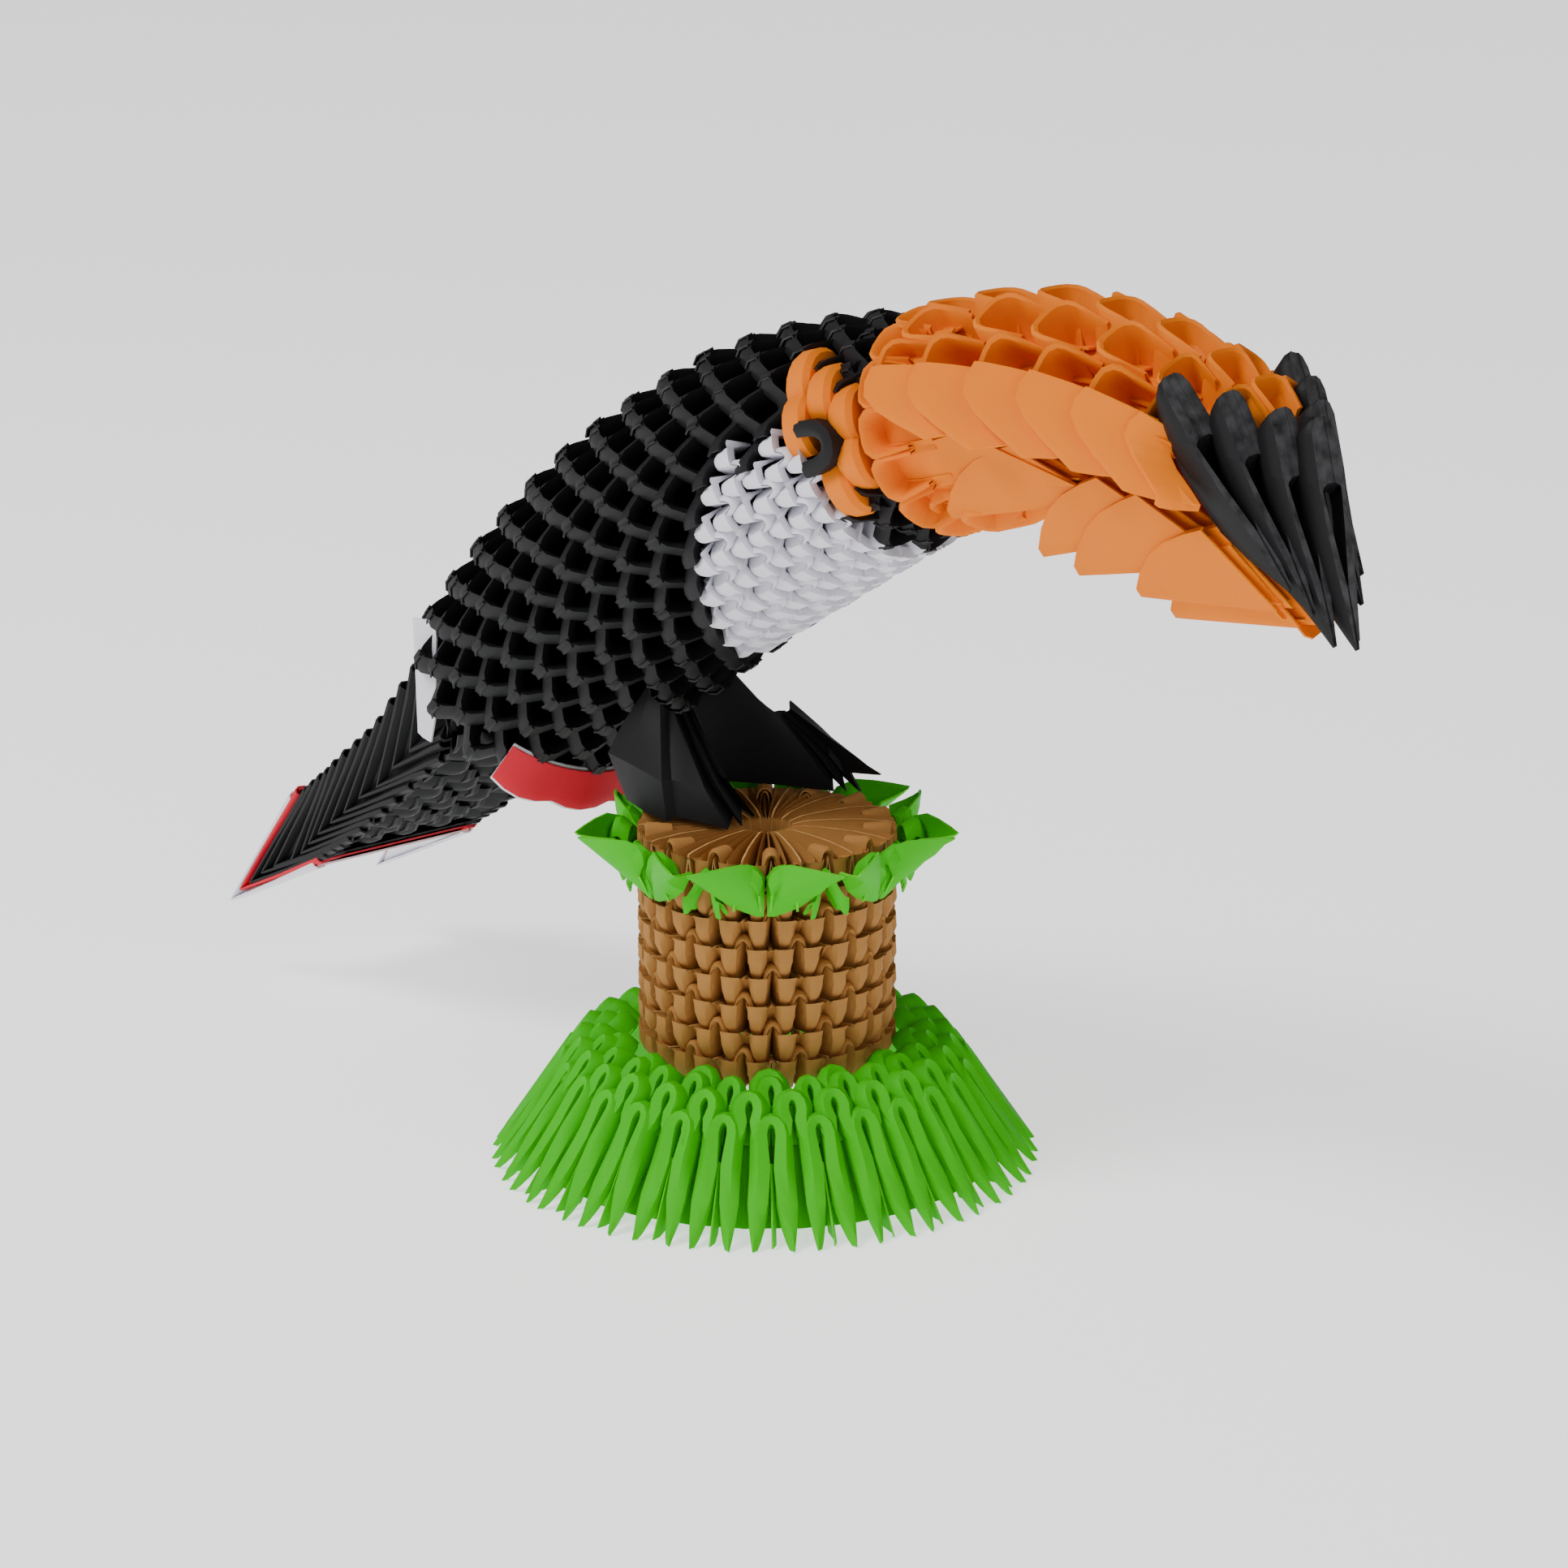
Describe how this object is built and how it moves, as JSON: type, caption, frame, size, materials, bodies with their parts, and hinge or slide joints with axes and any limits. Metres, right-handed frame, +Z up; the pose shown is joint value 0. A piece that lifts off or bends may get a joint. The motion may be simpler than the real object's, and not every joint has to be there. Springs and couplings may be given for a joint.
{
  "type": "folded paper toucan on stump",
  "caption": "Toucan of interlocked folded-paper units perched on a brown paper stump with a leaf collar and a flared green paper base.",
  "frame": {"origin": "on the table under the middle of the whole object's box", "axes": "+X along the bird towards the tip of the beak, +Y towards the bird's left, +Z up"},
  "size_m": [0.2844, 0.0998, 0.1687],
  "materials": {
    "black_paper": "matt coloured paper",
    "white_paper": "matt coloured paper",
    "orange_paper": "matt coloured paper",
    "red_paper": "matt coloured paper",
    "green_paper": "matt coloured paper",
    "brown_paper": "matt coloured paper"
  },
  "bodies": {
    "root": {"beak_base_row": "orange_paper", "beak_lower_row_1": "orange_paper", "beak_lower_row_2": "orange_paper", "beak_lower_row_3": "orange_paper", "beak_lower_row_4": "orange_paper", "beak_lower_row_5": "orange_paper", "beak_lower_row_6": "orange_paper", "beak_tip": "black_paper", "beak_upper_row_1": "orange_paper", "beak_upper_row_2": "orange_paper", "beak_upper_row_3": "orange_paper", "beak_upper_row_4": "orange_paper", "beak_upper_row_5": "orange_paper", "beak_upper_row_6": "orange_paper", "beak_upper_row_7": "orange_paper", "beak_upper_row_8": "orange_paper", "body_rows_01_02": "black_paper", "body_rows_03_04": "black_paper", "body_rows_05_06": "black_paper", "body_rows_07_08": "black_paper", "body_rows_09_10": "black_paper", "body_rows_11_12": "black_paper", "body_rows_13_14": "black_paper", "body_rows_15_16": "black_paper", "body_rows_17_18": "black_paper", "body_rows_19_20": "black_paper", "body_rows_21_21": "black_paper", "body_rows_22_24": "black_paper", "breast_rows_13_14": "white_paper", "breast_rows_15_16": "white_paper", "breast_rows_17_18": "white_paper", "breast_rows_19_20": "white_paper", "breast_rows_21_21": "white_paper", "breast_rows_22_24": "white_paper", "collar_row": "black_paper", "eye_left": "black_paper", "eye_right": "black_paper", "eye_ring_left": "orange_paper", "eye_ring_right": "orange_paper", "foot_left": "black_paper", "foot_right": "black_paper", "grass_row_1": "green_paper", "grass_rows_2_4": "green_paper", "leaf_collar": "green_paper", "rump_white_row": "white_paper", "stump_rows_1_2": "brown_paper", "stump_rows_3_4": "brown_paper", "stump_rows_5_6": "brown_paper", "stump_rows_7_8": "brown_paper", "tail_red_row": "red_paper", "tail_rows": "black_paper", "tail_white_row": "white_paper", "undertail_red_row": "red_paper", "undertail_white_row": "white_paper"}
  },
  "joints": []
}
